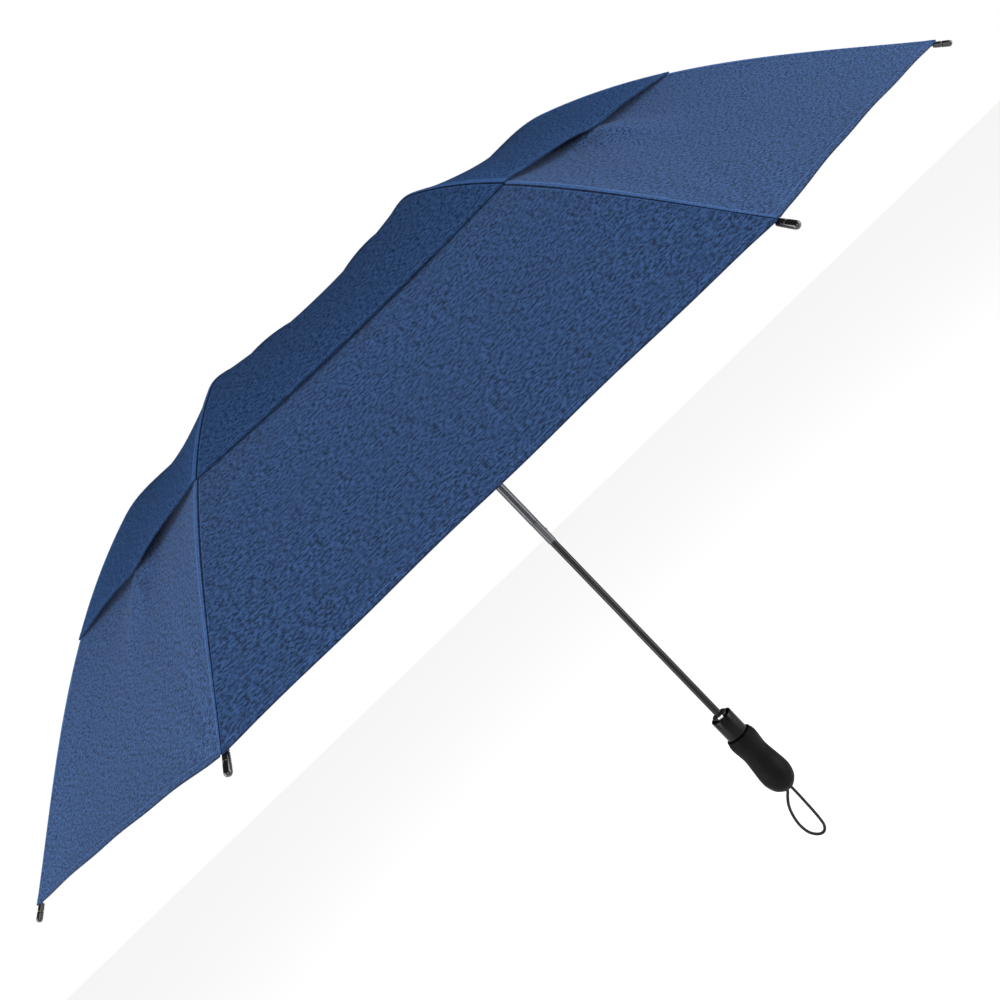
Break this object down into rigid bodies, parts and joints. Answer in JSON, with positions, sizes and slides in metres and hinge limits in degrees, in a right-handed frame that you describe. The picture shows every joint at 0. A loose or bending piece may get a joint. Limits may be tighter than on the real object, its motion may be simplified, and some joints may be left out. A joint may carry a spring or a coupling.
{
  "type": "folding umbrella",
  "caption": "Open vented folding umbrella: double canopy dome on folding ribs, telescoping shaft with sliding runner, push button collar, soft grip and wrist strap.",
  "frame": {"origin": "middle of the hand grip, on the shaft axis", "axes": "+Z along the shaft towards the crown, +Y towards the release button"},
  "size_m": [1.2246, 1.2246, 0.8798],
  "materials": {
    "canopy_cloth": "heathered woven polyester",
    "rib_steel": "zinc plated",
    "rib_glassfibre": "satin glass fibre",
    "gloss_black": "moulded gloss",
    "matte_black": "moulded matt",
    "chrome": "bright plated",
    "dark_shaft": "black nickel plated",
    "grey_sleeve": "satin grey",
    "grip_rubber": "soft touch",
    "strap_cord": "braided cord"
  },
  "bodies": {
    "handle": {"lower_tube": "dark_shaft", "handle_core": "matte_black", "grip": "grip_rubber", "collar": "gloss_black", "latch_housing": "chrome", "lever_pin": "rib_steel", "end_plug": "gloss_black", "wrist_strap": "strap_cord", "button_spring": "rib_steel"},
    "upper_shaft": {"upper_tube": "chrome", "coupling_sleeve": "grey_sleeve", "coupling_rivet": "grey_sleeve", "crown_notch": "matte_black", "crown_wire": "rib_steel", "canopy_washer": "chrome", "ferrule_cap": "gloss_black", "upper_canopy": "canopy_cloth", "lower_canopy": "canopy_cloth", "opening_spring": "rib_steel"},
    "sliding_runner": {"runner": "matte_black", "runner_wire": "rib_steel"},
    "button": {"release_button": "chrome"},
    "latch": {"latch_lever": "rib_steel"},
    "inner_arm_1": {"inner_rib_1": "rib_steel"},
    "outer_arm_1": {"outer_rib_1": "rib_glassfibre", "rib_tip_1": "gloss_black"},
    "strut_1": {"stretcher_1": "rib_steel"},
    "inner_arm_2": {"inner_rib_2": "rib_steel"},
    "outer_arm_2": {"outer_rib_2": "rib_glassfibre", "rib_tip_2": "gloss_black"},
    "strut_2": {"stretcher_2": "rib_steel"},
    "inner_arm_3": {"inner_rib_3": "rib_steel"},
    "outer_arm_3": {"outer_rib_3": "rib_glassfibre", "rib_tip_3": "gloss_black"},
    "strut_3": {"stretcher_3": "rib_steel"},
    "inner_arm_4": {"inner_rib_4": "rib_steel"},
    "outer_arm_4": {"outer_rib_4": "rib_glassfibre", "rib_tip_4": "gloss_black"},
    "strut_4": {"stretcher_4": "rib_steel"},
    "inner_arm_5": {"inner_rib_5": "rib_steel"},
    "outer_arm_5": {"outer_rib_5": "rib_glassfibre", "rib_tip_5": "gloss_black"},
    "strut_5": {"stretcher_5": "rib_steel"},
    "inner_arm_6": {"inner_rib_6": "rib_steel"},
    "outer_arm_6": {"outer_rib_6": "rib_glassfibre", "rib_tip_6": "gloss_black"},
    "strut_6": {"stretcher_6": "rib_steel"},
    "inner_arm_7": {"inner_rib_7": "rib_steel"},
    "outer_arm_7": {"outer_rib_7": "rib_glassfibre", "rib_tip_7": "gloss_black"},
    "strut_7": {"stretcher_7": "rib_steel"},
    "inner_arm_8": {"inner_rib_8": "rib_steel"},
    "outer_arm_8": {"outer_rib_8": "rib_glassfibre", "rib_tip_8": "gloss_black"},
    "strut_8": {"stretcher_8": "rib_steel"}
  },
  "joints": [
    {"name": "shaft_telescope", "type": "slide", "parent": "handle", "child": "upper_shaft", "axis": [0, 0, -1], "range_m": [0, 0.235], "deforming": ["opening_spring"]},
    {"name": "canopy_fold", "type": "slide", "parent": "upper_shaft", "child": "sliding_runner", "axis": [0, 0, -1], "range_m": [0, 0.2654], "deforming": ["upper_canopy", "lower_canopy"]},
    {"name": "button_press", "type": "slide", "parent": "handle", "child": "button", "axis": [0, -1, 0], "range_m": [0, 0.0015], "stiffness_N_per_m": 900, "springref_m": -0.0015, "deforming": ["button_spring"]},
    {"name": "latch_rock", "type": "hinge", "parent": "handle", "child": "latch", "pos_m": [0, 0.0079, 0.06225], "axis": [-1, 0, 0], "range_deg": [0, 8]},
    {"name": "inner_rib_hinge_1", "type": "hinge", "parent": "upper_shaft", "child": "inner_arm_1", "pos_m": [0.01543, 0.00455, 0.74685], "axis": [-0.3827, 0.9239, 0], "range_deg": [0, 81.6]},
    {"name": "outer_rib_hinge_1", "type": "hinge", "parent": "inner_arm_1", "child": "outer_arm_1", "pos_m": [0.34731, 0.1457, 0.69304], "axis": [0.3827, -0.9239, 0], "range_deg": [0, 204.16]},
    {"name": "stretcher_hinge_1", "type": "hinge", "parent": "sliding_runner", "child": "strut_1", "pos_m": [0.01658, 0.00178, 0.61966], "axis": [0.3827, -0.9239, 0], "range_deg": [0, 55.53]},
    {"name": "inner_rib_hinge_2", "type": "hinge", "parent": "upper_shaft", "child": "inner_arm_2", "pos_m": [0.00769, 0.01413, 0.74685], "axis": [-0.9239, 0.3827, 0], "range_deg": [0, 81.6]},
    {"name": "outer_rib_hinge_2", "type": "hinge", "parent": "inner_arm_2", "child": "outer_arm_2", "pos_m": [0.14256, 0.34861, 0.69304], "axis": [0.9239, -0.3827, 0], "range_deg": [0, 204.16]},
    {"name": "stretcher_hinge_2", "type": "hinge", "parent": "sliding_runner", "child": "strut_2", "pos_m": [0.01047, 0.01298, 0.61966], "axis": [0.9239, -0.3827, 0], "range_deg": [0, 55.53]},
    {"name": "inner_rib_hinge_3", "type": "hinge", "parent": "upper_shaft", "child": "inner_arm_3", "pos_m": [-0.00455, 0.01543, 0.74685], "axis": [-0.9239, -0.3827, 0], "range_deg": [0, 81.6]},
    {"name": "outer_rib_hinge_3", "type": "hinge", "parent": "inner_arm_3", "child": "outer_arm_3", "pos_m": [-0.1457, 0.34731, 0.69304], "axis": [0.9239, 0.3827, 0], "range_deg": [0, 204.16]},
    {"name": "stretcher_hinge_3", "type": "hinge", "parent": "sliding_runner", "child": "strut_3", "pos_m": [-0.00178, 0.01658, 0.61966], "axis": [0.9239, 0.3827, 0], "range_deg": [0, 55.53]},
    {"name": "inner_rib_hinge_4", "type": "hinge", "parent": "upper_shaft", "child": "inner_arm_4", "pos_m": [-0.01413, 0.00769, 0.74685], "axis": [-0.3827, -0.9239, 0], "range_deg": [0, 81.6]},
    {"name": "outer_rib_hinge_4", "type": "hinge", "parent": "inner_arm_4", "child": "outer_arm_4", "pos_m": [-0.34861, 0.14256, 0.69304], "axis": [0.3827, 0.9239, 0], "range_deg": [0, 204.16]},
    {"name": "stretcher_hinge_4", "type": "hinge", "parent": "sliding_runner", "child": "strut_4", "pos_m": [-0.01298, 0.01047, 0.61966], "axis": [0.3827, 0.9239, 0], "range_deg": [0, 55.53]},
    {"name": "inner_rib_hinge_5", "type": "hinge", "parent": "upper_shaft", "child": "inner_arm_5", "pos_m": [-0.01543, -0.00455, 0.74685], "axis": [0.3827, -0.9239, 0], "range_deg": [0, 81.6]},
    {"name": "outer_rib_hinge_5", "type": "hinge", "parent": "inner_arm_5", "child": "outer_arm_5", "pos_m": [-0.34731, -0.1457, 0.69304], "axis": [-0.3827, 0.9239, 0], "range_deg": [0, 204.16]},
    {"name": "stretcher_hinge_5", "type": "hinge", "parent": "sliding_runner", "child": "strut_5", "pos_m": [-0.01658, -0.00178, 0.61966], "axis": [-0.3827, 0.9239, 0], "range_deg": [0, 55.53]},
    {"name": "inner_rib_hinge_6", "type": "hinge", "parent": "upper_shaft", "child": "inner_arm_6", "pos_m": [-0.00769, -0.01413, 0.74685], "axis": [0.9239, -0.3827, 0], "range_deg": [0, 81.6]},
    {"name": "outer_rib_hinge_6", "type": "hinge", "parent": "inner_arm_6", "child": "outer_arm_6", "pos_m": [-0.14256, -0.34861, 0.69304], "axis": [-0.9239, 0.3827, 0], "range_deg": [0, 204.16]},
    {"name": "stretcher_hinge_6", "type": "hinge", "parent": "sliding_runner", "child": "strut_6", "pos_m": [-0.01047, -0.01298, 0.61966], "axis": [-0.9239, 0.3827, 0], "range_deg": [0, 55.53]},
    {"name": "inner_rib_hinge_7", "type": "hinge", "parent": "upper_shaft", "child": "inner_arm_7", "pos_m": [0.00455, -0.01543, 0.74685], "axis": [0.9239, 0.3827, 0], "range_deg": [0, 81.6]},
    {"name": "outer_rib_hinge_7", "type": "hinge", "parent": "inner_arm_7", "child": "outer_arm_7", "pos_m": [0.1457, -0.34731, 0.69304], "axis": [-0.9239, -0.3827, 0], "range_deg": [0, 204.16]},
    {"name": "stretcher_hinge_7", "type": "hinge", "parent": "sliding_runner", "child": "strut_7", "pos_m": [0.00178, -0.01658, 0.61966], "axis": [-0.9239, -0.3827, 0], "range_deg": [0, 55.53]},
    {"name": "inner_rib_hinge_8", "type": "hinge", "parent": "upper_shaft", "child": "inner_arm_8", "pos_m": [0.01413, -0.00769, 0.74685], "axis": [0.3827, 0.9239, 0], "range_deg": [0, 81.6]},
    {"name": "outer_rib_hinge_8", "type": "hinge", "parent": "inner_arm_8", "child": "outer_arm_8", "pos_m": [0.34861, -0.14256, 0.69304], "axis": [-0.3827, -0.9239, 0], "range_deg": [0, 204.16]},
    {"name": "stretcher_hinge_8", "type": "hinge", "parent": "sliding_runner", "child": "strut_8", "pos_m": [0.01298, -0.01047, 0.61966], "axis": [-0.3827, -0.9239, 0], "range_deg": [0, 55.53]}
  ],
  "couplings": [
    {"joint": "latch_rock", "follows": "button_press", "rad_per_m": 90.757},
    {"joint": "inner_rib_hinge_1", "follows": "canopy_fold", "rad_per_m": 5.3596},
    {"joint": "outer_rib_hinge_1", "follows": "canopy_fold", "rad_per_m": 13.419},
    {"joint": "stretcher_hinge_1", "follows": "canopy_fold", "rad_per_m": 3.6452},
    {"joint": "inner_rib_hinge_2", "follows": "canopy_fold", "rad_per_m": 5.3596},
    {"joint": "outer_rib_hinge_2", "follows": "canopy_fold", "rad_per_m": 13.419},
    {"joint": "stretcher_hinge_2", "follows": "canopy_fold", "rad_per_m": 3.6452},
    {"joint": "inner_rib_hinge_3", "follows": "canopy_fold", "rad_per_m": 5.3596},
    {"joint": "outer_rib_hinge_3", "follows": "canopy_fold", "rad_per_m": 13.419},
    {"joint": "stretcher_hinge_3", "follows": "canopy_fold", "rad_per_m": 3.6452},
    {"joint": "inner_rib_hinge_4", "follows": "canopy_fold", "rad_per_m": 5.3596},
    {"joint": "outer_rib_hinge_4", "follows": "canopy_fold", "rad_per_m": 13.419},
    {"joint": "stretcher_hinge_4", "follows": "canopy_fold", "rad_per_m": 3.6452},
    {"joint": "inner_rib_hinge_5", "follows": "canopy_fold", "rad_per_m": 5.3596},
    {"joint": "outer_rib_hinge_5", "follows": "canopy_fold", "rad_per_m": 13.419},
    {"joint": "stretcher_hinge_5", "follows": "canopy_fold", "rad_per_m": 3.6452},
    {"joint": "inner_rib_hinge_6", "follows": "canopy_fold", "rad_per_m": 5.3596},
    {"joint": "outer_rib_hinge_6", "follows": "canopy_fold", "rad_per_m": 13.419},
    {"joint": "stretcher_hinge_6", "follows": "canopy_fold", "rad_per_m": 3.6452},
    {"joint": "inner_rib_hinge_7", "follows": "canopy_fold", "rad_per_m": 5.3596},
    {"joint": "outer_rib_hinge_7", "follows": "canopy_fold", "rad_per_m": 13.419},
    {"joint": "stretcher_hinge_7", "follows": "canopy_fold", "rad_per_m": 3.6452},
    {"joint": "inner_rib_hinge_8", "follows": "canopy_fold", "rad_per_m": 5.3596},
    {"joint": "outer_rib_hinge_8", "follows": "canopy_fold", "rad_per_m": 13.419},
    {"joint": "stretcher_hinge_8", "follows": "canopy_fold", "rad_per_m": 3.6452}
  ]
}
